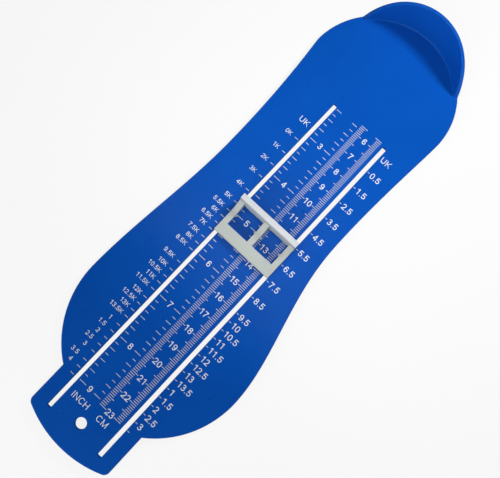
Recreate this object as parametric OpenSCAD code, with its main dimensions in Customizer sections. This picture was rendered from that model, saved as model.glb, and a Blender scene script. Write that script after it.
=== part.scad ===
// Foot measuring device: a foot-shaped plate with a raised wall behind the heel,
// printed length scales and a toe stop that slides along two slots.
// Y is the reading of the scale in millimetres, from the heel towards the toes,
// X runs across the plate and Z is up. The origin is the zero of the scale, on the
// middle line between the slots, at the height of the surface under the device.

/* [Foot plate] */
// Length of the whole plate, from the heel end to the tab's end
plate_l = 257.1; // [254:0.1:264]
// Thickness of the plate's skin
skin_t = 2; // [1.5:0.1:3]
// Depth of the stiffening rim below the skin
rim_h = 2.5; // [2.3:0.1:4]
// Width of the stiffening rim
rim_w = 2.2; // [1.8:0.1:2.6]
// Radius of the round heel end
heel_r = 38.7; // [36:0.1:42]
// Sideways place of the heel's middle
heel_x = 5.7; // [0:0.1:8]
// Width at the waist
waist_w = 70; // [60:0.2:76]
// Sideways place of the waist's middle
waist_x = 5.3; // [0:0.1:8]
// Reading at the waist
waist_y = 104; // [90:1:120]
// Width at the ball of the foot
ball_w = 89.4; // [80:0.2:96]
// Sideways place of the ball's middle
ball_x = 0.9; // [-2:0.1:4]
// Reading at the ball of the foot
ball_y = 188.8; // [175:0.2:195]
// Radius of the round toe end
toe_r = 48.4; // [45:0.2:52]

/* [Hanging tab] */
// Width of the tab at the toe end
tab_w = 47.6; // [44:0.2:54]
// Height of the tab's bowed end
tab_bow = 5.2; // [3:0.2:7]
// Radius of the tab's corners
tab_corner_r = 3; // [2.8:0.1:5]
// Diameter of the hanging hole
hole_d = 5.3; // [4:0.1:7]
// Distance from the tab's end to the hanging hole
hole_inset = 13.4; // [11:0.1:18]

/* [Heel wall] */
// Thickness of the heel wall at its foot
wall_t = 2; // [1.6:0.1:3]
// Draft of the heel wall, by which its top is thinner than its foot
wall_draft = 0.5; // [0:0.1:0.8]
// Height of the heel wall above the plate
wall_h = 21.1; // [14:0.2:28]
// Length of the heel wall along the scale
wall_reach = 14.7; // [10:0.1:22]
// Bulge of the wall's edge beyond a straight slope
wall_bulge = 1.5; // [0.5:0.1:3]
// Radius of the fillet between the heel wall and the plate
fillet_r = 1.2; // [0.6:0.1:2]

/* [Slots] */
// Distance of each slot from the middle line
slot_x = 15.6; // [14.5:0.1:17]
// Width of a slot
slot_w = 2.1; // [1.8:0.1:3]
// Reading at the heel end of the slots
slot_start = 55.7; // [50:0.1:58]
// Distance from the tab's end to the toe end of the slots
slot_inset = 9; // [7.5:0.1:10]

/* [Slider] */
// Reading of the pointers
reading = 127.6; // [70:0.1:225]
// Distance from the stop's face to the pointers
pointer_offset = 8.8; // [7:0.1:10]
// Length of the slider along the scale
slider_l = 20.4; // [18:0.1:24]
// Distance from a slot's middle to the slider's side
slider_edge = 1; // [0.9:0.1:3]
// Thickness of the slider's frame
frame_t = 2.6; // [2:0.1:4]
// Width of the side bars
side_bar_w = 2.9; // [2.4:0.1:4]
// Width of the middle bar
mid_bar_w = 3; // [2:0.1:4]
// Width of the band on the toe side
band_w = 5.8; // [4:0.1:8]
// Height of the toe stop above the plate
stop_h = 11; // [9:0.5:22]
// Thickness of the toe stop at its foot
stop_t = 2.9; // [2:0.1:4]
// Draft of the toe stop, by which its top is thinner than its foot
stop_draft = 0.3; // [0:0.1:0.8]
// Height of the braces where they meet the toe stop
brace_h = 5; // [3:0.1:6]
// Length of the braces along the scale
brace_l = 7; // [4:0.5:8]
// Length of a pointer's base
pointer_w = 1.8; // [1:0.1:2.6]
// Reach of a pointer into its window
pointer_l = 1; // [0.5:0.1:1.6]
// Thickness of the pointers
pointer_t = 1; // [0.5:0.1:1.6]

/* [Guide legs and keeper] */
// Distance from the guide's heel end to the pointers
guide_back = 4; // [3:0.1:5]
// Length of a guide leg along the slot
leg_l = 5; // [3.5:0.1:6]
// Free play of a leg on each side in its slot
leg_play = 0.15; // [0.1:0.05:0.25]
// Gap between the slider and each face of the plate
run_gap = 0.2; // [0.1:0.05:0.3]
// Thickness of the keeper under the plate
keeper_t = 1.2; // [0.8:0.1:1.3]
// Distance from the slider's toe end to the keeper's
keeper_inset = 0.6; // [0.4:0.1:1.6]
// Reach of the keeper past a slot's middle
keeper_edge = 3; // [2:0.1:4]
// Reach of the keeper past the outermost legs along the slots
keeper_lip = 1.2; // [0.8:0.1:1.4]
// Play around a leg in the keeper
keeper_play = 0.1; // [0.05:0.05:0.2]
// Height of a leg's snap head
head_h = 0.7; // [0.4:0.05:0.8]
// Overhang of a snap head under the keeper
head_reach = 0.5; // [0.3:0.1:0.8]

/* [Printed scales] */
// Thickness of the ink
ink_t = 0.06; // [0.04:0.01:0.1]
// Width of a printed line
line_w = 0.32; // [0.2:0.02:0.5]
// Distance from the tab's end to the last reading of the scales
scale_inset = 25.1; // [22:0.1:50]
// First reading of the centimetre scale
cm_start = 55; // [50:1:60]
// First line of the inch scale, in eighths of an inch
inch_start = 18; // [16:1:20]
// Distance from the outer centimetre row to the middle of its slot
cm_row_gap = 2.8; // [1.6:0.1:4]
// Distance from the outer inch row to the middle of its slot
inch_row_gap = 1.9; // [1.4:0.1:3]
// Distance from the adult size lines to the middle of their slot
adult_gap = 1.6; // [1.4:0.1:3]
// Distance from the child size lines to the middle of their slot
child_gap = 1.7; // [1.4:0.1:3]
// Reading of the child's size nought
child_zero = 81.1; // [78:0.1:84]
// Distance between whole child sizes, about a third of an inch
child_step = 8.46; // [8.4:0.01:8.5]
// Reading of the first adult size line
adult_first = 70; // [65:1:75]
// Distance between the adult lines of whole sizes, which halves from the tenth line on
adult_step = 10; // [8:0.5:10]

/* [Hidden] */
$fn = 96;

plate_blue = "#0b57c4";
slider_grey = "#cfcfc5";
print_white = "#f4f6f8";

// Heights of the plate's faces
skin_z = rim_h;
top_z = rim_h + skin_t;
// The wall's inner face stands at the zero of the scale
heel_y = heel_r - wall_t;
// The heel end's and the toe end's outermost edges
heel_end = -wall_t;
tab_end = heel_end + plate_l;
slot_end = tab_end - slot_inset;
hole_y = tab_end - hole_inset;
scale_end = tab_end - scale_inset;

// Slider, from the pointers' reading
stop_y = reading - pointer_offset;
slider_end = stop_y + slider_l;
slider_half_w = slot_x + slider_edge;
frame_z = top_z + run_gap;
frame_top = frame_z + frame_t;
window_y = stop_y + stop_t;
window_l = slider_l - stop_t - band_w;
window_w = slider_half_w - side_bar_w - mid_bar_w / 2;
leg_w = slot_w - 2 * leg_play;
guide_y = reading - guide_back;
keeper_top = skin_z - run_gap;
keeper_z = keeper_top - keeper_t;
keeper_half_w = slot_x + keeper_edge;
keeper_y = guide_y - keeper_lip;
keeper_end = slider_end - keeper_inset;
leg_starts = [guide_y, keeper_end - keeper_lip - leg_l];

// Length by which a cut passes clear of a face, or a joined shape runs into its neighbour
cut = 1;
outline_step = 3;
side_steps = 28;
// How early the sides at -X and at +X draw in towards the waist, and widen from it
waist_ease = [0.7, 0.56];
ball_ease = [1.13, 1.02];

// Share of the wall's reach, at each of its ends, that has no fillet
fillet_reach = 0.2;
// Share of the fillet's radius by which it runs into the wall, so that they cross cleanly
fillet_bite = 0.08;

inch = 25.4;
eighth = inch / 8;
// Rows of the centimetre scale: [start of the lines, direction], and their lengths
cm_rows = [[-0.1, -1], [cm_row_gap - slot_x, 1]];
mm_l = 2.7;
half_cm_l = 3.8;
cm_l = 4;
// Rows of the inch scale: [start of the lines, direction], and their lengths
inch_rows = [[slot_x - inch_row_gap, -1], [1.1, 1]];
eighth_l = 1.8;
quarter_l = 2.8;
inch_l = 3.85;
// Lengths of the size lines beside the slots
adult_l = 1.15;
child_l = 1.9;
adult_half = adult_step / 2;
adult_steps = concat([for (k = [0 : 9]) 2 * k], [for (k = [19 : lines_to(adult_first, adult_half)]) k]);
adult_readings = [for (k = adult_steps) adult_first + k * adult_half];
// Whole sizes up to 5, then half sizes, with none at 9, each at the nearest millimetre
child_half = child_step / 2;
child_steps = concat([for (k = [0 : 5]) 2 * k], [for (k = [11 : 17]) k],
                     [for (k = [19 : lines_to(child_zero, child_half)]) k]);
child_readings = [for (k = child_steps) round(child_zero + k * child_half)];

// Number of the last line that the scales' last reading leaves room for
function lines_to(first, step) = floor((scale_end - first) / step + 0.01);

// A smooth step from 0 to 1 whose middle is moved by the power
function ease(t, power) = let (s = pow(t, power)) s * s * (3 - 2 * s);

function mix(a, b, s) = a + (b - a) * s;

// Half width of the plate's side at a reading, on the side where X has this sign
function side_at(y, side) =
    let (heel = heel_r + side * heel_x,
         waist = waist_w / 2 + side * waist_x,
         ball = ball_w / 2 + side * ball_x,
         k = side < 0 ? 0 : 1)
    y < waist_y
        ? mix(heel, waist, ease((y - heel_y) / (waist_y - heel_y), waist_ease[k]))
        : mix(waist, ball, ease((y - waist_y) / (ball_y - waist_y), ball_ease[k]));

// One side from the heel's widest place to the tab's end, drawn in by an inset
function side_points(side, inset) =
    let (r = toe_r - inset,
         middle = ball_w / 2 + side * ball_x - toe_r,
         half_tab = tab_w / 2 - inset,
         turn = acos((half_tab - middle) / r),
         end_r = (tab_w * tab_w / 4 + tab_bow * tab_bow) / (2 * tab_bow),
         corner_r = tab_corner_r - inset,
         corner_x = half_tab - corner_r,
         end_y = tab_end - end_r,
         corner_y = end_y + sqrt(pow(end_r - tab_corner_r, 2) - corner_x * corner_x),
         lean = atan2(corner_y - end_y, corner_x),
         arc_steps = round(turn / outline_step))
    concat(
        [for (k = [1 : side_steps])
            let (y = mix(heel_y, ball_y, k / side_steps)) [side_at(y, side) - inset, y]],
        [for (k = [1 : arc_steps])
            let (a = turn * k / arc_steps) [middle + r * cos(a), ball_y + r * sin(a)]],
        [for (k = [0 : 4])
            let (a = lean * k / 4) [corner_x + corner_r * cos(a), corner_y + corner_r * sin(a)]],
        [for (k = [1 : 8])
            let (a = mix(lean, 90, k / 8))
            [(end_r - inset) * cos(a), end_y + (end_r - inset) * sin(a)]]);

// The plate's outline, drawn in by an inset
function outline(inset) =
    let (r = heel_r - inset,
         right = side_points(1, inset),
         left = side_points(-1, inset),
         last = len(left) - 2)
    concat(
        [for (a = [180 : outline_step : 360]) [heel_x + r * cos(a), heel_y + r * sin(a)]],
        right,
        [for (k = [last : -1 : 0]) [-left[k][0], left[k][1]]]);

// A strip along the outline's edge
module edge_strip(width, height) {
    difference() {
        linear_extrude(height) polygon(outline(0));
        translate([0, 0, -cut]) linear_extrude(height + 2 * cut) polygon(outline(width));
    }
}

// Height of the heel wall's edge above the plate, where its outer face has this reading
function wall_rise(y) =
    let (chord = sqrt(wall_reach * wall_reach + wall_h * wall_h),
         r = (chord * chord / 4 + wall_bulge * wall_bulge) / (2 * wall_bulge),
         middle_y = heel_end + wall_reach / 2 - (r - wall_bulge) * wall_h / chord,
         middle_z = wall_h / 2 - (r - wall_bulge) * wall_reach / chord)
    middle_z + sqrt(max(0, r * r - pow(y - middle_y, 2)));

// The heel wall's inner face and its edge, which is level across the wall at every angle.
// It runs past the outline, which gives the outer face.
module wall_shape() {
    turn = acos(1 - wall_reach / heel_r);
    steps = ceil(turn / outline_step + 0.5);
    angles = [for (k = [0.5 - steps : steps - 0.5]) k * outline_step];
    last = 4 * (len(angles) - 1);
    points = [for (a = angles)
        let (rise = max(-0.9 * skin_t, wall_rise(heel_y - heel_r * cos(a))),
             foot = heel_r - wall_t, edge = foot + wall_draft * rise / wall_h,
             outer = heel_r + cut, z = top_z + rise)
        for (p = [[foot, skin_z], [outer, skin_z], [outer, z], [edge, z]])
            [heel_x + p[0] * sin(a), heel_y - p[0] * cos(a), p[1]]];
    sides = [for (k = [0 : 4 : last - 4]) for (j = [0 : 3])
        let (a = k + j, b = k + (j + 1) % 4) for (f = [[a, b, b + 4], [a, b + 4, a + 4]]) f];
    polyhedron(points, concat(sides, [[3, 2, 1, 0], [for (j = [0 : 3]) last + j]]));
}

// Fillet in the corner between the heel wall and the plate, where the wall is tall enough
module wall_fillet() {
    r = heel_r - wall_t + fillet_bite * fillet_r;
    sweep = 2 * acos((heel_y - heel_end - wall_reach * (1 - fillet_reach)) / heel_r);
    profile = concat(
        [[r - fillet_r, -cut / 2], [r + wall_t / 2, -cut / 2], [r + wall_t / 2, fillet_r]],
        [for (a = [0 : 15 : 90]) [r - fillet_r + fillet_r * cos(a), fillet_r - fillet_r * sin(a)]]);
    translate([heel_x, heel_y, top_z])
        rotate([0, 0, 270 - sweep / 2])
            rotate_extrude(angle = sweep, $fn = 120) polygon(profile);
}

module heel_wall() {
    intersection() {
        linear_extrude(top_z + wall_h + cut) polygon(outline(0));
        wall_shape();
    }
    wall_fillet();
}

module slots() {
    for (side = [-1, 1])
        translate([side * slot_x - slot_w / 2, slot_start, skin_z - cut])
            cube([slot_w, slot_end - slot_start, skin_t + 2 * cut]);
}

module foot_plate() {
    color(plate_blue)
    difference() {
        union() {
            translate([0, 0, skin_z]) linear_extrude(skin_t) polygon(outline(0));
            edge_strip(rim_w, skin_z + skin_t / 2);
            heel_wall();
        }
        slots();
        translate([0, hole_y, skin_z - cut]) cylinder(d = hole_d, h = skin_t + 2 * cut);
    }
}

// Profile of a brace: it falls in a hollow curve from the stop to the frame
function brace_profile() = concat(
    [[-stop_t / 2, 0]],
    [for (k = [0 : 8]) let (t = k / 8) [brace_l * t, brace_h * (1 - t) * (1 - t)]],
    [[brace_l, -frame_t / 2], [-stop_t / 2, -frame_t / 2]]);

module brace(x, width) {
    translate([x, window_y, frame_top])
        rotate([90, 0, 90])
            linear_extrude(width) polygon(brace_profile());
}

// A pointer reaching from a window's side towards +X or -X
module pointer(x, side) {
    translate([x, reading, frame_z])
        linear_extrude(pointer_t)
            polygon([[-side * cut, -pointer_w / 2], [0, -pointer_w / 2],
                     [side * pointer_l, 0],
                     [0, pointer_w / 2], [-side * cut, pointer_w / 2]]);
}

// A guide leg with its snap head, below the frame
module guide_leg(side, y) {
    translate([side * slot_x - leg_w / 2, y, keeper_z]) {
        cube([leg_w, leg_l, frame_z + frame_t / 2 - keeper_z]);
        rotate([90, 0, 90])
            linear_extrude(leg_w)
                polygon([[-head_reach, 0], [0, -head_h], [leg_l, -head_h], [leg_l + head_reach, 0]]);
    }
}

module slider() {
    color(slider_grey)
    union() {
        difference() {
            translate([-slider_half_w, stop_y, frame_z]) cube([2 * slider_half_w, slider_l, frame_t]);
            for (side = [-1, 1])
                translate([side * (mid_bar_w + window_w) / 2 - window_w / 2, window_y, frame_z - cut])
                    cube([window_w, window_l, frame_t + 2 * cut]);
        }
        translate([-slider_half_w, stop_y, 0])
            rotate([90, 0, 90])
                linear_extrude(2 * slider_half_w)
                    polygon([[0, frame_z], [stop_t, frame_z], [stop_t, frame_top],
                             [stop_t - stop_draft, top_z + stop_h], [0, top_z + stop_h]]);
        brace(-slider_half_w, side_bar_w);
        brace(-mid_bar_w / 2, mid_bar_w);
        brace(slider_half_w - side_bar_w, side_bar_w);
        for (side = [-1, 1]) {
            pointer(side * mid_bar_w / 2, side);
            pointer(side * (slider_half_w - side_bar_w), -side);
            for (y = leg_starts) guide_leg(side, y);
        }
    }
}

module slider_keeper() {
    color(slider_grey)
    difference() {
        translate([-keeper_half_w, keeper_y, keeper_z])
            cube([2 * keeper_half_w, keeper_end - keeper_y, keeper_t]);
        for (side = [-1, 1])
            for (y = leg_starts)
                translate([side * slot_x - leg_w / 2 - keeper_play, y - keeper_play, keeper_z - cut])
                    cube([leg_w + 2 * keeper_play, leg_l + 2 * keeper_play, keeper_t + 2 * cut]);
    }
}

// A printed line across the scale, from x towards the side given
module scale_line(x, y, length, side) {
    translate([side < 0 ? x - length : x, y - line_w / 2, top_z]) cube([length, line_w, ink_t]);
}

module cm_scale_lines() {
    color(print_white)
    for (row = cm_rows)
        for (y = [cm_start : lines_to(0, 1)])
            scale_line(row[0], y, y % 10 == 0 ? cm_l : y % 5 == 0 ? half_cm_l : mm_l, row[1]);
}

module inch_scale_lines() {
    color(print_white)
    for (row = inch_rows)
        for (k = [inch_start : lines_to(0, eighth)])
            scale_line(row[0], k * eighth, k % 8 == 0 ? inch_l : k % 2 == 0 ? quarter_l : eighth_l, row[1]);
}

module adult_size_lines() {
    color(print_white)
    for (y = adult_readings) scale_line(-slot_x - adult_gap, y, adult_l, -1);
}

module child_size_lines() {
    color(print_white)
    for (y = child_readings) scale_line(slot_x + child_gap, y, child_l, 1);
}

foot_plate();
slider();
slider_keeper();
cm_scale_lines();
inch_scale_lines();
adult_size_lines();
child_size_lines();
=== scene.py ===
"""Looks of a foot measuring device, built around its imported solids. Lengths are in
millimetres until a mesh is made, and the frame is the solids' own: X across the plate,
Y the scale's reading from heel to toes, Z up."""

import math

import bmesh
import bpy
import numpy as np
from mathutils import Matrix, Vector, geometry


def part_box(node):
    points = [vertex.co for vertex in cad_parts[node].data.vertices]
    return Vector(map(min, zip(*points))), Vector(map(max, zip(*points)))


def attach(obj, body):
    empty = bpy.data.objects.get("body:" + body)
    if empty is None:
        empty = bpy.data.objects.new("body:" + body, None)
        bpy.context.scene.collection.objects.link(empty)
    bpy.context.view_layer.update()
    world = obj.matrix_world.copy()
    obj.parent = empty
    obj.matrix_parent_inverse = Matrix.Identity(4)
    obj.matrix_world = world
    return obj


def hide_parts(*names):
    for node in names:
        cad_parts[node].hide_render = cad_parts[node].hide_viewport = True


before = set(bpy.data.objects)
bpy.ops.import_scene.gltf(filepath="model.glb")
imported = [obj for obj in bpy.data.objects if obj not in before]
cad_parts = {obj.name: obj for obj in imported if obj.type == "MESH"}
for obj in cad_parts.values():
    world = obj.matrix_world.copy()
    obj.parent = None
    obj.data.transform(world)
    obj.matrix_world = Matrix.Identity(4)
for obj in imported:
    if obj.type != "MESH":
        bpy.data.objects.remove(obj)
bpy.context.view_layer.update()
MM = 0.001

# ---------------------------------------------------------------- sizes from the frame
plate_lo, plate_hi = (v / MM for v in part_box("foot_plate"))
_, slider_hi = (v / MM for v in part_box("slider"))
ink_lo, ink_hi = (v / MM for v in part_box("cm_scale_lines"))

TOP_Z = ink_lo.z                    # the plate's printed face
INK_T = ink_hi.z - ink_lo.z
SKIN_T = 2.0
SKIN_Z = TOP_Z - SKIN_T
RIM_W = 2.2
HEEL_END, TAB_END = plate_lo.y, plate_hi.y
HEEL_R = 38.7
HEEL_X = 5.7
HEEL_Y = HEEL_END + HEEL_R
WAIST_W, WAIST_X, WAIST_Y = 70.0, 5.3, 104.0
BALL_W = plate_hi.x - plate_lo.x
BALL_X = (plate_hi.x + plate_lo.x) / 2
BALL_Y = 188.8
WAIST_EASE = {-1: 0.7, 1: 0.56}
BALL_EASE = {-1: 1.13, 1: 1.02}
TOE_R = 48.4
TAB_W, TAB_BOW, TAB_CORNER_R = 47.6, 5.2, 3.0
HOLE_R = 2.65
HOLE_Y = TAB_END - 13.4
SLOT_X, SLOT_W, SLOT_START = 15.6, 2.1, 55.7
SLOT_END = TAB_END - 9.0
WALL_T, WALL_DRAFT = 2.0, 0.5
WALL_H = plate_hi.z - TOP_Z
WALL_REACH, WALL_BULGE = 14.7, 1.5
FILLET_R = 0.8
WALL_SINK, WALL_SOFT = 0.1, 0.3     # how the wall's ends run out into the plate
EDGE_T, EDGE_FILLET = 1.3, 0.6      # the same two sizes where there is no wall
EDGE_FLAT_RUN = 0.5                 # flat top kept inside the fillet
WALL_FADE, RISE_FADE = 6.0, 3.0     # lengths over which the wall's section fades out
UNDER_ROUND = 0.4                   # rounding of the rim's lower corners


# ---------------------------------------------------------------- the plate's outline
def ease(t, power):
    s = np.power(t, power)
    return s * s * (3 - 2 * s)


def smooth(t):
    t = np.clip(t, 0, 1)
    return t * t * (3 - 2 * t)


def side_at(y, side):
    heel = HEEL_R + side * HEEL_X
    waist = WAIST_W / 2 + side * WAIST_X
    ball = BALL_W / 2 + side * BALL_X
    back = ease(np.clip((y - HEEL_Y) / (WAIST_Y - HEEL_Y), 0, 1), WAIST_EASE[side])
    front = ease(np.clip((y - WAIST_Y) / (BALL_Y - WAIST_Y), 0, 1), BALL_EASE[side])
    return np.where(y < WAIST_Y, heel + (waist - heel) * back, waist + (ball - waist) * front)


HEEL_STEPS, SIDE_STEPS, TOE_STEPS, CORNER_STEPS, END_STEPS = 240, 84, 56, 8, 20


def side_points(side, inset):
    r = TOE_R - inset
    middle = BALL_W / 2 + side * BALL_X - TOE_R
    half_tab = TAB_W / 2 - inset
    turn = math.acos((half_tab - middle) / r)
    end_r = (TAB_W ** 2 / 4 + TAB_BOW ** 2) / (2 * TAB_BOW)
    corner_r = TAB_CORNER_R - inset
    corner_x = half_tab - corner_r
    end_y = TAB_END - end_r
    corner_y = end_y + math.sqrt((end_r - TAB_CORNER_R) ** 2 - corner_x ** 2)
    lean = math.atan2(corner_y - end_y, corner_x)
    y = HEEL_Y + (BALL_Y - HEEL_Y) * np.arange(1, SIDE_STEPS + 1) / SIDE_STEPS
    a = turn * np.arange(1, TOE_STEPS + 1) / TOE_STEPS
    b = lean * np.arange(0, CORNER_STEPS + 1) / CORNER_STEPS
    c = lean + (math.pi / 2 - lean) * np.arange(1, END_STEPS + 1) / END_STEPS
    return np.vstack([
        np.c_[side_at(y, side) - inset, y],
        np.c_[middle + r * np.cos(a), BALL_Y + r * np.sin(a)],
        np.c_[corner_x + corner_r * np.cos(b), corner_y + corner_r * np.sin(b)],
        np.c_[(end_r - inset) * np.cos(c), end_y + (end_r - inset) * np.sin(c)]])


def outline(inset):
    """The plate's outline drawn in by an inset, counter-clockwise from the heel's -X side."""
    a = math.pi * (1 + np.arange(HEEL_STEPS + 1) / HEEL_STEPS)
    heel = np.c_[HEEL_X + (HEEL_R - inset) * np.cos(a), HEEL_Y + (HEEL_R - inset) * np.sin(a)]
    left = side_points(-1, inset)[:-1][::-1] * (-1, 1)
    return np.vstack([heel, side_points(1, inset), left])


# ---------------------------------------------------------------- mesh helpers
def new_piece(name, points, faces, body, material, node=None, smooth_deg=32):
    """A mesh piece from points in millimetres, riding on a body and standing for a node."""
    mesh = bpy.data.meshes.new(name)
    mesh.from_pydata([tuple(float(c) * MM for c in p) for p in points], [], faces)
    return finish_piece(name, mesh, body, material, node, smooth_deg)


def finish_piece(name, mesh, body, material, node=None, smooth_deg=32):
    mesh.update()
    mesh.shade_smooth()
    mesh.set_sharp_from_angle(angle=math.radians(smooth_deg))
    mesh.materials.clear()
    mesh.materials.append(material)
    obj = bpy.data.objects.new(name, mesh)
    bpy.context.scene.collection.objects.link(obj)
    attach(obj, body)
    if node:
        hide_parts(node)
    return obj


def rounded(corners, steps):
    """A 2-D line through corners [(point, length in, length out)], each rounded by a curve."""
    line = []
    for k, (p, before, after) in enumerate(corners):
        p = np.array(p, float)
        if before == 0 and after == 0:
            line.append(p)
            continue
        q, r = np.array(corners[k - 1][0], float), np.array(corners[k + 1][0], float)
        a = p + (q - p) / np.linalg.norm(q - p) * before
        b = p + (r - p) / np.linalg.norm(r - p) * after
        for t in np.arange(steps + 1) / steps:
            line.append((1 - t) ** 2 * a + 2 * t * (1 - t) * p + t * t * b)
    return np.array(line)


def inside(points, loop):
    """Which 2-D points lie inside a closed loop."""
    x, y = points[:, 0][:, None], points[:, 1][:, None]
    a, b = loop, np.roll(loop, -1, axis=0)
    crosses = (a[:, 1] > y) != (b[:, 1] > y)
    with np.errstate(divide="ignore", invalid="ignore"):
        at = a[:, 0] + (y - a[:, 1]) * (b[:, 0] - a[:, 0]) / (b[:, 1] - a[:, 1])
    return (crosses & (x < at)).sum(1) % 2 == 1


def fill(points, loops, upward):
    """Triangles between an outer loop and the loops inside it, all lists of point numbers."""
    flat = [i for loop in loops for i in loop]
    number = {p: k for k, p in enumerate(flat)}
    edges = [(number[a], number[b]) for loop in loops for a, b in zip(loop, loop[1:] + loop[:1])]
    co = [Vector((points[i][0], points[i][1])) for i in flat]
    out = geometry.delaunay_2d_cdt(co, edges, [], 0, 1e-7)
    back = [flat[ids[0]] for ids in out[3]]
    tris = [[back[i] for i in f] for f in out[2]]
    xy = np.array([[points[i][0], points[i][1]] for i in range(len(points))])
    centre = np.array([xy[t].mean(0) for t in tris])
    keep = inside(centre, xy[loops[0]])
    for loop in loops[1:]:
        keep &= ~inside(centre, xy[loop])
    kept = []
    for t, k in zip(tris, keep):
        if k:
            a, b, c = xy[t[0]], xy[t[1]], xy[t[2]]
            turn = (b[0] - a[0]) * (c[1] - a[1]) - (b[1] - a[1]) * (c[0] - a[0])
            kept.append(t if (turn > 0) == upward else t[::-1])
    return kept


# ---------------------------------------------------------------- materials
def node_material(name):
    material = bpy.data.materials.new(name)
    material.use_nodes = True
    tree = material.node_tree
    return material, tree.nodes, tree.links, tree.nodes["Principled BSDF"]


def noise(nodes, links, coords, scale, detail=3.0, rough=0.5):
    n = nodes.new("ShaderNodeTexNoise")
    n.inputs["Scale"].default_value = scale
    n.inputs["Detail"].default_value = detail
    n.inputs["Roughness"].default_value = rough
    links.new(coords, n.inputs["Vector"])
    return n.outputs["Fac"]


def mapped(nodes, links, value, low, high, start=0.3, end=0.7):
    m = nodes.new("ShaderNodeMapRange")
    for key, number in (("From Min", start), ("From Max", end), ("To Min", low), ("To Max", high)):
        m.inputs[key].default_value = number
    links.new(value, m.inputs["Value"])
    return m.outputs["Result"]


def mixed(nodes, links, factor, one, other):
    m = nodes.new("ShaderNodeMix")
    m.data_type = "RGBA"
    links.new(factor, m.inputs["Factor"])
    m.inputs["A"].default_value = (*one, 1)
    m.inputs["B"].default_value = (*other, 1)
    return m.outputs["Result"]


def moulded_plastic(name, dark, light, rough, grain, bump, specular=0.5, subsurface=0.0,
                    top=None):
    """Injection-moulded plastic: slight clouding of the pigment, fine grain and soft flow.

    With a top (colour, from height, to height) the slider's upper parts are painted paler towards
    the top: a painted highlight for the light falling on them."""
    material, nodes, links, shader = node_material(name)
    coords = nodes.new("ShaderNodeTexCoord").outputs["Object"]
    cloud = noise(nodes, links, coords, 38, 4, 0.6)
    colour = mixed(nodes, links, mapped(nodes, links, cloud, 0, 1), dark, light)
    if top:
        # Painted highlight: the colour is lightened with height, standing in for light falling on
        # the tops.
        split = nodes.new("ShaderNodeSeparateXYZ")
        links.new(coords, split.inputs[0])
        painted_highlight = mapped(nodes, links, split.outputs["Z"], 0, 1, top[1], top[2])
        pick = mixed(nodes, links, painted_highlight, dark, top[0])
        links.new(colour, pick.node.inputs["A"])
        colour = pick
    links.new(colour, shader.inputs["Base Color"])
    fine = noise(nodes, links, coords, grain, 2, 0.5)
    links.new(mapped(nodes, links, noise(nodes, links, coords, 160, 4, 0.6), *rough),
              shader.inputs["Roughness"])
    relief = nodes.new("ShaderNodeBump")
    relief.inputs["Strength"].default_value = 1.0
    relief.inputs["Distance"].default_value = bump * MM
    links.new(fine, relief.inputs["Height"])
    links.new(relief.outputs["Normal"], shader.inputs["Normal"])
    shader.inputs["Specular IOR Level"].default_value = specular
    if subsurface:
        shader.inputs["Subsurface Weight"].default_value = subsurface
        shader.inputs["Subsurface Radius"].default_value = (1.0, 0.9, 0.8)
        shader.inputs["Subsurface Scale"].default_value = 1.5 * MM
    return material


def printed_ink(name, colour, worn):
    """Screen-printed ink: a little uneven where the layer is thin."""
    material, nodes, links, shader = node_material(name)
    coords = nodes.new("ShaderNodeTexCoord").outputs["Object"]
    patchy = mapped(nodes, links, noise(nodes, links, coords, 900, 4, 0.7), 0, 1, 0.35, 0.8)
    links.new(mixed(nodes, links, patchy, colour, worn), shader.inputs["Base Color"])
    shader.inputs["Roughness"].default_value = 0.5
    return material


PAINTED_HIGHLIGHT_DEPTH = 3.5                      # depth over which the slider's top is painted paler, as a painted highlight

blue_plastic = moulded_plastic("blue_plastic", (0.0020, 0.072, 0.40), (0.0026, 0.080, 0.43),
                               (0.27, 0.36), 1400, 0.004, specular=0.2)
# The paler top colour given here is a painted highlight on the slider's upper parts.
grey_plastic = moulded_plastic("grey_plastic", (0.44, 0.48, 0.46), (0.48, 0.52, 0.50),
                               (0.38, 0.48), 1800, 0.006, subsurface=0.15,
                               top=((0.58, 0.61, 0.63), (slider_hi[2] - PAINTED_HIGHLIGHT_DEPTH) * MM,
                                    slider_hi[2] * MM))
white_ink = printed_ink("white_ink", (0.74, 0.78, 0.82), (0.62, 0.68, 0.76))
thin_ink = printed_ink("thin_ink", (0.48, 0.53, 0.60), (0.38, 0.44, 0.54))


# ---------------------------------------------------------------- foot plate
def wall_top(y):
    """Height of the heel wall's sloped edge above the plate, which falls away to nought."""
    chord = math.hypot(WALL_REACH, WALL_H)
    r = (chord * chord / 4 + WALL_BULGE ** 2) / (2 * WALL_BULGE)
    mid_y = HEEL_END + WALL_REACH / 2 - (r - WALL_BULGE) * WALL_H / chord
    mid_z = WALL_H / 2 - (r - WALL_BULGE) * WALL_REACH / chord
    h = mid_z + math.sqrt(max(r * r - (y - mid_y) ** 2, 0)) - WALL_SINK
    return max((h + math.sqrt(h * h + WALL_SOFT * WALL_SOFT)) / 2 - 0.02, 0)


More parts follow.
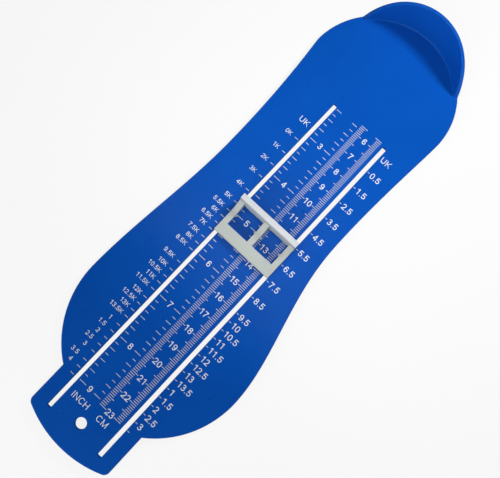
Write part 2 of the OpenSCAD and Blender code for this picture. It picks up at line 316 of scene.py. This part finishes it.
def plate_profile(point):
    """The edge's cross-section at one place of the outline, as (inset, height) points."""
    beyond = point[1] - (HEEL_END + WALL_REACH)
    share = float(1 - smooth(beyond / WALL_FADE))
    rise = 0.0
    if beyond < RISE_FADE:
        rise = wall_top(point[1]) * float(1 - smooth(beyond / RISE_FADE))
    stands = float(smooth(rise / 1.5))
    t = EDGE_T + (WALL_T - EDGE_T) * share
    fillet = EDGE_FILLET + (FILLET_R - EDGE_FILLET) * share
    spread = 0.3 * (1 - stands)
    outer = 0.44 - 0.1 * stands
    inner = 0.35 + 0.2 * stands
    top = (t - spread - WALL_DRAFT * rise / WALL_H, TOP_Z + rise)
    foot = (t + spread, TOP_Z)
    gap = math.hypot(top[0] - foot[0], top[1] - foot[1])
    return rounded([
        ((RIM_W + 0.7, SKIN_Z), 0, 0),
        ((RIM_W, SKIN_Z), 0.35, 0.35),
        ((RIM_W, 0), UNDER_ROUND, UNDER_ROUND),
        ((0, 0), UNDER_ROUND, UNDER_ROUND),
        ((0, TOP_Z + rise), outer, outer),
        (top, inner, min(inner, 0.42 * gap)),
        (foot, min(fillet, 0.42 * gap), fillet),
        ((t + fillet + EDGE_FLAT_RUN, TOP_Z), 0, 0)], 6)


def hole_rings(loop_at, points, faces):
    """A hole through the skin: rounded top edge and its side. Returns its two outer loops."""
    rows = [(0.55, TOP_Z), (0.22, TOP_Z), (0.12, TOP_Z - 0.03), (0.04, TOP_Z - 0.1),
            (0, TOP_Z - 0.22), (0, SKIN_Z)]
    loops = []
    for grow, z in rows:
        ring = loop_at(grow)
        loops.append(list(range(len(points), len(points) + len(ring))))
        points += [(p[0], p[1], z) for p in ring]
    for a, b in zip(loops, loops[1:]):
        n = len(a)
        faces += [[a[i], a[(i + 1) % n], b[(i + 1) % n], b[i]] for i in range(n)]
    return loops[0], loops[-1]


def round_loop(x, y, r, steps=48):
    def at(grow):
        return [(x + (r + grow) * math.cos(2 * math.pi * k / steps),
                 y + (r + grow) * math.sin(2 * math.pi * k / steps)) for k in range(steps)]
    return at


def slot_loop(x, start, end, width, corner=0.3, steps=4):
    def at(grow):
        c = corner + grow
        loop = []
        for k, (sx, sy) in enumerate(((1, 1), (-1, 1), (-1, -1), (1, -1))):
            cx = x + sx * (width / 2 - corner)
            cy = (end - corner) if sy > 0 else (start + corner)
            for j in range(steps + 1):
                a = math.pi / 2 * (k + j / steps)
                loop.append((cx + c * math.cos(a), cy + c * math.sin(a)))
        return loop
    return at


def build_plate():
    rim, inner = outline(0), outline(1) - outline(0)
    count = len(rim)
    points, faces = [], []
    for p, v in zip(rim, inner):
        for d, z in plate_profile(p):
            points.append((p[0] + v[0] * d, p[1] + v[1] * d, z))
    per = len(points) // count
    for i in range(count):
        j = (i + 1) % count
        for k in range(per - 1):
            faces.append([i * per + k, j * per + k, j * per + k + 1, i * per + k + 1])
    top = [[i * per + per - 1 for i in range(count)]]
    under = [[i * per for i in range(count)]]
    for at in (slot_loop(-SLOT_X, SLOT_START, SLOT_END, SLOT_W),
               slot_loop(SLOT_X, SLOT_START, SLOT_END, SLOT_W),
               round_loop(0, HOLE_Y, HOLE_R)):
        high, low = hole_rings(at, points, faces)
        top.append(high)
        under.append(low)
    faces += fill(points, top, True)
    faces += fill(points, under, False)
    return new_piece("plate_body", points, faces, "plate", blue_plastic,
                     "foot_plate")


build_plate()


# ---------------------------------------------------------------- slider and keeper
SLIDER_ROUND, KEEPER_ROUND = 0.28, 0.2    # radius of the moulded edges


def softened(node, name, width, body, steps=3):
    """A CAD node's shape with its edges rounded off, as a moulding has them."""
    bm = bmesh.new()
    bm.from_mesh(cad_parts[node].data)
    bmesh.ops.remove_doubles(bm, verts=bm.verts, dist=1e-6)
    bmesh.ops.dissolve_limit(bm, angle_limit=math.radians(1), verts=bm.verts, edges=bm.edges)
    sharp = [e for e in bm.edges if len(e.link_faces) == 2
             and e.calc_face_angle(0) > math.radians(28)]
    bmesh.ops.bevel(bm, geom=sharp, offset=width * MM, segments=steps, profile=0.5,
                    affect="EDGES", clamp_overlap=True)
    bmesh.ops.triangulate(bm, faces=[f for f in bm.faces if len(f.verts) > 4])
    mesh = bpy.data.meshes.new(name)
    bm.to_mesh(mesh)
    bm.free()
    return finish_piece(name, mesh, body, grey_plastic, node, 40)


softened("slider", "slider_frame", SLIDER_ROUND, "toe_stop")
softened("slider_keeper", "keeper_plate", KEEPER_ROUND, "toe_stop", 2)

for line_node in ("cm_scale_lines", "inch_scale_lines", "adult_size_lines", "child_size_lines"):
    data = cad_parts[line_node].data
    data.materials.clear()
    data.materials.append(thin_ink)


# ---------------------------------------------------------------- printed numbers
# The characters are drawn as strokes in a body of height 1: CAPS is their own height.
CAPS = 0.716
ADVANCE = {".": 0.278, "K": 0.667, "U": 0.722, "I": 0.278, "N": 0.722, "C": 0.722,
           "H": 0.722, "M": 0.833}
DIGIT_ADVANCE = 0.556


def arc(cx, cy, rx, ry, start, end, steps=16):
    """Points of an ellipse from one angle to another, in degrees."""
    a = np.radians(np.linspace(start, end, steps + 1))
    return [(cx + rx * math.cos(v), cy + ry * math.sin(v)) for v in a]


def bend(p, q, r, steps=6):
    """Points of a curve from p to r drawn towards q."""
    return [tuple((1 - t) ** 2 * np.array(p) + 2 * t * (1 - t) * np.array(q)
                  + t * t * np.array(r)) for t in np.arange(steps + 1) / steps]


def strokes(char, h):
    """A character's strokes, as (points, closed), for a stroke of half width h."""
    top, low = CAPS - h, h
    if char == "0":
        ring = [(0.278 + (0.233 - h) * np.sign(x) * abs(x) ** 0.88,
                 CAPS / 2 + (CAPS / 2 + 0.005 - h) * np.sign(y) * abs(y) ** 0.88)
                for x, y in arc(0, 0, 1, 1, 0, 345, 23)]
        return [(ring, True)]
    if char == "1":
        return [([(0.335, 0), (0.335, CAPS)], False),
                (bend((0.335, CAPS - 0.02), (0.27, 0.59), (0.12, 0.555)), False)]
    if char == "2":
        return [(arc(0.268, 0.50, 0.225 - h, top - 0.50, 172, -18, 14)
                 + bend((0.47 - h, 0.43), (0.42, 0.33), (0.27, 0.22))[1:]
                 + bend((0.27, 0.22), (0.13, 0.12), (0.095, low))[1:], False),
                ([(0.04, low), (0.505, low)], False)]
    if char == "3":
        middle = 0.388
        return [(arc(0.262, (top + middle) / 2, 0.208 - h, (top - middle) / 2, 162, -90, 14)
                 + [(0.20, middle)], False),
                (arc(0.268, (low + middle) / 2, 0.232 - h, (middle - low) / 2, 95, -168, 16),
                 False)]
    if char == "4":
        return [([(0.372, 0), (0.372, CAPS)], False),
                ([(0.03, 0.21), (0.52, 0.21)], False),
                ([(0.372, CAPS - 0.04), (0.065, 0.215)], False)]
    if char == "5":
        return [([(0.125, top), (0.475, top)], False),
                ([(0.145, top + h), (0.10, 0.345)], False),
                (arc(0.27, 0.238, 0.235 - h, 0.238 - h, 140, -168, 18), False)]
    if char == "6":
        return [(arc(0.282, 0.232, 0.225 - h, 0.232 - h, 0, 342, 19), True),
                (arc(0.290, 0.352, 0.245 - h, CAPS / 2 + 0.002 - h, 38, 205, 14), False)]
    if char == "7":
        return [([(0.045, top), (0.51, top)], False),
                (bend((0.485, top), (0.27, 0.40), (0.205, 0)), False)]
    if char == "8":
        middle = 0.390
        return [(arc(0.278, (top + middle) / 2, 0.208 - h, (top - middle) / 2, 0, 340, 17), True),
                (arc(0.278, (low + middle) / 2, 0.235 - h, (middle - low) / 2, 0, 342, 19), True)]
    if char == "9":
        return [([(0.556 - x, CAPS - y) for x, y in points], closed)
                for points, closed in strokes("6", h)]
    if char == ".":
        return [([(0.14, 0), (0.14, 2.1 * h)], False)]
    if char == "K":
        return [([(0.078 + h, 0), (0.078 + h, CAPS)], False),
                ([(0.11, 0.235), (0.61, 0.745)], False),
                ([(0.265, 0.40), (0.64, -0.05)], False)]
    if char == "U":
        return [([(0.08 + h, CAPS)] + arc(0.361, 0.265, 0.281 - h, 0.265 - h, 180, 360, 14)
                 + [(0.642 - h, CAPS)], False)]
    if char == "I":
        return [([(0.139, 0), (0.139, CAPS)], False)]
    if char == "N":
        return [([(0.075 + h, 0), (0.075 + h, CAPS)], False),
                ([(0.645 - h, 0), (0.645 - h, CAPS)], False),
                ([(0.04 + h, CAPS + 0.05), (0.68 - h, -0.05)], False)]
    if char == "C":
        return [(arc(0.382, CAPS / 2, 0.332 - h, CAPS / 2 + 0.008 - h, 42, 318, 22), False)]
    if char == "H":
        return [([(0.08 + h, 0), (0.08 + h, CAPS)], False),
                ([(0.64 - h, 0), (0.64 - h, CAPS)], False),
                ([(0.08 + h, 0.376), (0.64 - h, 0.376)], False)]
    return [([(0.075 + h, 0), (0.075 + h, CAPS)], False),
            ([(0.758 - h, 0), (0.758 - h, CAPS)], False),
            ([(0.055 + h, CAPS + 0.05), (0.4165 + 0.015, -0.05)], False),
            ([(0.778 - h, CAPS + 0.05), (0.4165 - 0.015, -0.05)], False)]


def stroke_quads(points, closed, h):
    """The strip of four-sided pieces that a stroke of half width h covers."""
    p = np.array(points, float)
    ahead = (np.roll(p, -1, axis=0) - p)
    ahead /= np.maximum(np.linalg.norm(ahead, axis=1), 1e-9)[:, None]
    behind = np.roll(ahead, 1, axis=0)
    if not closed:
        ahead[-1] = behind[-1]
        behind[0] = ahead[0]
    across = np.c_[-(ahead + behind)[:, 1], (ahead + behind)[:, 0]]
    across /= np.linalg.norm(across, axis=1)[:, None]
    lean = across[:, 0] * -ahead[:, 1] + across[:, 1] * ahead[:, 0]
    across *= (h / np.maximum(lean, 0.5))[:, None]
    left, right = p + across, p - across
    for side in (left, right):
        side[:, 1] = np.clip(side[:, 1], -0.012, CAPS + 0.012)
    last = len(p) if closed else len(p) - 1
    return [(left[i], right[i], right[(i + 1) % len(p)], left[(i + 1) % len(p)])
            for i in range(last)]


def glyph(char, weight, known={}):
    """A character's flat triangles, joined into one shape without overlaps."""
    if (char, weight) not in known:
        co, faces = [], []
        for points, closed in strokes(char, weight / 2):
            for quad in stroke_quads(points, closed, weight / 2):
                faces.append(list(range(len(co), len(co) + 4)))
                co += [Vector(q) for q in quad]
        out = geometry.delaunay_2d_cdt(co, [], faces, 1, 1e-5)
        tris = [list(f) for f, source in zip(out[2], out[5]) if source]
        known[char, weight] = np.array([tuple(v) for v in out[0]]), tris
    return known[char, weight]


def words(name, labels, body, weight):
    """Printed words as one piece of thin ink. Each label is (text, x, y, anchor): anchor -1
    sets its start at x, 0 its middle and 1 its end. They read towards -X, feet towards +Y."""
    points, faces = [], []
    for text, x, y, anchor in labels:
        advance = [ADVANCE.get(c, DIGIT_ADVANCE) for c in text]
        parts = [glyph(c, weight) for c in text]
        starts = np.cumsum([0] + advance)
        inked = [starts[0] + parts[0][0][:, 0].min(), starts[-2] + parts[-1][0][:, 0].max()]
        shift = {-1: 0, 0: -sum(inked) / 2, 1: -starts[-1]}[anchor]
        for start, (co, tris) in zip(starts, parts):
            flat = [(x - (start + shift + u) * body, y - (v - CAPS / 2) * body) for u, v in co]
            first, high = len(points), len(points) + len(flat)
            points += [(a, b, TOP_Z) for a, b in flat]
            points += [(a, b, TOP_Z + INK_T) for a, b in flat]
            sides = {}
            for t in tris:
                a, b, c = (flat[i] for i in t)
                turn = (b[0] - a[0]) * (c[1] - a[1]) - (b[1] - a[1]) * (c[0] - a[0])
                t = t if turn > 0 else t[::-1]
                faces.append([high + i for i in t])
                faces.append([first + i for i in t[::-1]])
                for i, j in zip(t, t[1:] + t[:1]):
                    sides[i, j] = True
            for i, j in sides:
                if (j, i) not in sides:
                    faces.append([first + i, first + j, high + j, high + i])
    return new_piece(name, points, faces, "plate", white_ink)


INCH = 25.4
BODY, SMALL_BODY = 4.12, 2.98
CM_X, INCH_X = -6.38, 7.42          # middles of the two scales' numbers
ADULT_X, CHILD_BIG_X = -19.05, 22.45
CHILD_ZERO, CHILD_STEP = 81.1, 8.46  # reading of child size 0, and one size
LINE_DROP = 0.1                     # the numbers' middles against their lines
SCALE_WEIGHT, ADULT_WEIGHT, CHILD_WEIGHT, UNIT_WEIGHT = 0.100, 0.096, 0.092, 0.088


def child_y(size):
    """Reading of a child's size line, at the nearest millimetre."""
    return round(CHILD_ZERO + CHILD_STEP * size)


def child_x(size):
    """Where a small child's size ends, a little nearer the slot for the longer ones."""
    return 20.6 if size >= 12 else 20.95 if size >= 10 else 21.25


adult = [(0.5 + k, 70 + 10 * k) for k in range(10)]
adult += [(10 + k / 2, 165 + 5 * k) for k in range(8)]
adult += [(1 + k / 2, 205 + 5 * k) for k in range(5)]
child = [0, 1, 2, 3, 4, 5] + [5 + k / 2 for k in range(1, 18) if k != 8]    # 9 has none

words("cm_numbers", [("%d" % n, CM_X, 10 * n + LINE_DROP, 0) for n in range(6, 24)],
      BODY, SCALE_WEIGHT)
words("inch_numbers", [("%d" % n, INCH_X, INCH * n, 0) for n in range(3, 10)],
      BODY, SCALE_WEIGHT)
words("adult_size_numbers", [("%g" % v, ADULT_X, y + LINE_DROP, -1) for v, y in adult],
      BODY, ADULT_WEIGHT)
words("child_size_numbers",
      [("%gK" % v, child_x(v), child_y(v) - LINE_DROP, 1) for v in child]
      + [("%g" % (k / 2), CHILD_BIG_X, child_y(13 + k / 2) - LINE_DROP, 1)
         for k in range(2, 9)],
      SMALL_BODY, CHILD_WEIGHT)
words("unit_letters", [("UK", -17.65, 60.8, -1), ("UK", 24.1, 72.0, -1),
                       ("INCH", 12.15, 234.7, -1), ("CM", -3.1, 234.8, -1)],
      BODY, UNIT_WEIGHT)


# ---------------------------------------------------------------- floor and backdrop
def stage_floor():
    bm = bmesh.new()
    size, z = 2.0, -0.00005
    corners = [bm.verts.new((x, y, z)) for x, y in
               ((-size, -size), (size, -size), (size, size), (-size, size))]
    bm.faces.new(corners)
    mesh = bpy.data.meshes.new("floor")
    bm.to_mesh(mesh)
    bm.free()
    floor = bpy.data.objects.new("floor", mesh)
    bpy.context.scene.collection.objects.link(floor)
    material = bpy.data.materials.new("pale_floor")
    material.use_nodes = True
    nodes, links = material.node_tree.nodes, material.node_tree.links
    nodes.clear()
    path = nodes.new("ShaderNodeLightPath")
    lit = nodes.new("ShaderNodeBsdfDiffuse")
    lit.inputs["Color"].default_value = (0.80, 0.80, 0.80, 1)
    shade = nodes.new("ShaderNodeBsdfDiffuse")
    shade.inputs["Color"].default_value = (0.10, 0.10, 0.10, 1)
    glow = nodes.new("ShaderNodeEmission")
    glow.inputs["Color"].default_value = (0.86, 0.86, 0.86, 1)
    glow.inputs["Strength"].default_value = 1.0
    pale = nodes.new("ShaderNodeAddShader")
    links.new(shade.outputs[0], pale.inputs[0])
    links.new(glow.outputs[0], pale.inputs[1])
    mirrored = nodes.new("ShaderNodeMixShader")
    links.new(path.outputs["Is Glossy Ray"], mirrored.inputs[0])
    links.new(lit.outputs[0], mirrored.inputs[1])
    links.new(shade.outputs[0], mirrored.inputs[2])
    choose = nodes.new("ShaderNodeMixShader")
    links.new(path.outputs["Is Camera Ray"], choose.inputs[0])
    links.new(mirrored.outputs[0], choose.inputs[1])
    links.new(pale.outputs[0], choose.inputs[2])
    out = nodes.new("ShaderNodeOutputMaterial")
    links.new(choose.outputs[0], out.inputs["Surface"])
    mesh.materials.append(material)


stage_floor()


def backdrop():
    """A dim room, which the camera sees as plain pale."""
    world = bpy.data.worlds.new("room")
    bpy.context.scene.world = world
    world.use_nodes = True
    nodes, links = world.node_tree.nodes, world.node_tree.links
    nodes.clear()
    coords = nodes.new("ShaderNodeTexCoord")
    split = nodes.new("ShaderNodeSeparateXYZ")
    links.new(coords.outputs["Generated"], split.inputs[0])
    height = nodes.new("ShaderNodeMapRange")
    height.inputs["From Min"].default_value = 0.1
    height.inputs["From Max"].default_value = 0.9
    height.inputs["To Min"].default_value = 0.10
    height.inputs["To Max"].default_value = 0.0
    links.new(split.outputs["Z"], height.inputs["Value"])
    path = nodes.new("ShaderNodeLightPath")
    room = nodes.new("ShaderNodeBackground")
    links.new(height.outputs["Result"], room.inputs["Strength"])
    plain = nodes.new("ShaderNodeBackground")
    plain.inputs["Color"].default_value = (0.93, 0.93, 0.93, 1)
    choose = nodes.new("ShaderNodeMixShader")
    links.new(path.outputs["Is Camera Ray"], choose.inputs[0])
    links.new(room.outputs[0], choose.inputs[1])
    links.new(plain.outputs[0], choose.inputs[2])
    out = nodes.new("ShaderNodeOutputWorld")
    links.new(choose.outputs[0], out.inputs["Surface"])


backdrop()


# ---------------------------------------------------------------- lamps and camera
def area_lamp(name, place, aim, size, power, mirrored=False):
    """A soft lamp: it lights what is matt, or, when mirrored, shows only as a reflection."""
    lamp = bpy.data.lights.new(name, "AREA")
    lamp.shape = "RECTANGLE"
    lamp.size, lamp.size_y = size
    lamp.energy = power
    obj = bpy.data.objects.new(name, lamp)
    bpy.context.scene.collection.objects.link(obj)
    obj.location = place
    obj.rotation_mode = "QUATERNION"
    obj.rotation_quaternion = (Vector(aim) - Vector(place)).to_track_quat("-Z", "Y")
    obj.visible_camera = False
    obj.visible_glossy = mirrored
    obj.visible_diffuse = not mirrored


area_lamp("key", (-0.075, -0.10, 0.235), (0.0, 0.03, 0.0), (0.05, 0.05), 0.62)
area_lamp("front", (0.0, 0.09, 0.18), (0.0, 0.0, 0.01), (0.08, 0.08), 0.095)
area_lamp("front_low", (0.0, 0.14, 0.10), (0.0, -0.01, 0.01), (0.20, 0.06), 0.055)
area_lamp("toe", (0.0, 0.55, 0.25), (0.0, 0.05, 0.0), (0.50, 0.25), 1.70)
area_lamp("side_strip", (-0.90, 0.12, 0.22), (0.0, 0.12, 0.0), (0.60, 0.20), 0.6, True)

camera = bpy.data.objects.new("camera", bpy.data.cameras.new("camera"))
bpy.context.scene.collection.objects.link(camera)
camera.location = (-0.01944, 0.16299, 0.29030)
camera.rotation_euler = tuple(math.radians(a) for a in (8.92797, -1.04698, -136.94657))
camera.data.lens, camera.data.sensor_width = 45.0, 36.0
camera.data.shift_x, camera.data.shift_y = 0.00514, -0.03166
camera.data.clip_start, camera.data.clip_end = 0.01, 20
bpy.context.scene.camera = camera

bpy.context.scene.view_settings.view_transform = "Standard"

bpy.context.view_layer.update()
